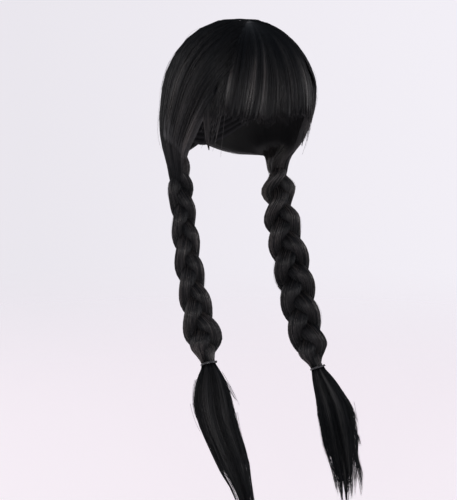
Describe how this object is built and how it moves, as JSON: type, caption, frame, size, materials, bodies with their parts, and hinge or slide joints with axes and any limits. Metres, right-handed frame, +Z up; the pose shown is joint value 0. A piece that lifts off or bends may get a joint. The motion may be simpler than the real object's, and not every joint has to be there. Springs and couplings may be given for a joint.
{
  "type": "pigtail wig",
  "caption": "Full synthetic wig with a blunt fringe, a long lock at each temple and two plaits tied off with clear elastics above loose tails.",
  "frame": {"origin": "the cap's inner top, where it rests on the crown of the head", "axes": "+Z up, the wearer faces -Y and the wearer's left is +X"},
  "size_m": [0.2127, 0.256, 0.6212],
  "materials": {
    "hair_fibre": "near-black synthetic fibre with a soft satin sheen along the strands",
    "cap_net": "matte black stretch net with sewn wefts",
    "clear_elastic": "clear grey elastic band, slightly glossy"
  },
  "bodies": {
    "root": {"wig_cap": "cap_net", "fringe": "hair_fibre", "side_hair_right": "hair_fibre", "side_hair_left": "hair_fibre", "side_lock_right": "hair_fibre", "side_lock_left": "hair_fibre", "braid_right": "hair_fibre", "braid_left": "hair_fibre", "elastic_right": "clear_elastic", "elastic_left": "clear_elastic", "tail_right": "hair_fibre", "tail_left": "hair_fibre"}
  },
  "joints": []
}
